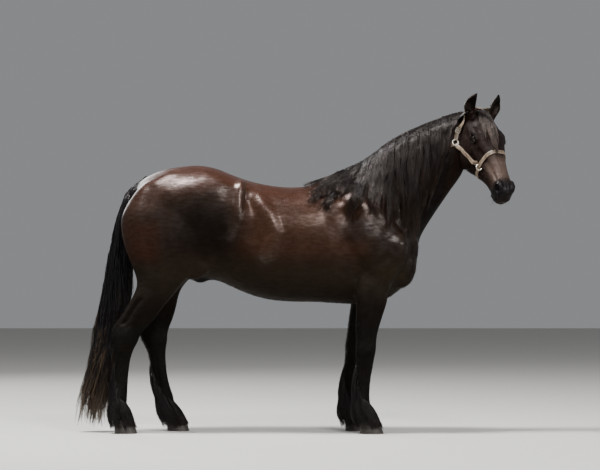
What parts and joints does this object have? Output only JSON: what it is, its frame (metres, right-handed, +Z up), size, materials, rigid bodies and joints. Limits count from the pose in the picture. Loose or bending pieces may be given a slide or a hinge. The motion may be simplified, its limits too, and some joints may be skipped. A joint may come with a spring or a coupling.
{
  "type": "friesian horse",
  "caption": "Life-size Friesian horse standing square, head turned to its right, with mane, tail, feather and a leather halter.",
  "frame": {"origin": "on the floor under the middle of the box round the horse", "axes": "+X the way the horse faces, +Z up, its right side along -Y"},
  "size_m": [2.6146, 0.747, 2.0541],
  "materials": {
    "coat": "short glossy black-brown coat",
    "hair": "long black hair",
    "horn": "grey-brown hoof horn",
    "eye": "wet dark brown",
    "halter_leather": "worn tan leather",
    "halter_metal": "dull polished metal"
  },
  "bodies": {
    "root": {"torso": "coat", "neck": "coat", "head": "coat", "ear_right": "coat", "ear_left": "coat", "eye_right": "eye", "eye_left": "eye", "tail": "hair", "leg_fore_right": "coat", "leg_fore_left": "coat", "leg_hind_right": "coat", "leg_hind_left": "coat", "pastern_fore_right": "coat", "pastern_fore_left": "coat", "pastern_hind_right": "coat", "pastern_hind_left": "coat", "hoof_fore_right": "horn", "hoof_fore_left": "horn", "hoof_hind_right": "horn", "hoof_hind_left": "horn", "halter_straps": "halter_leather", "halter_nose_ring_right": "halter_metal", "halter_nose_ring_left": "halter_metal", "halter_throat_ring_right": "halter_metal", "halter_throat_ring_left": "halter_metal"}
  },
  "joints": []
}
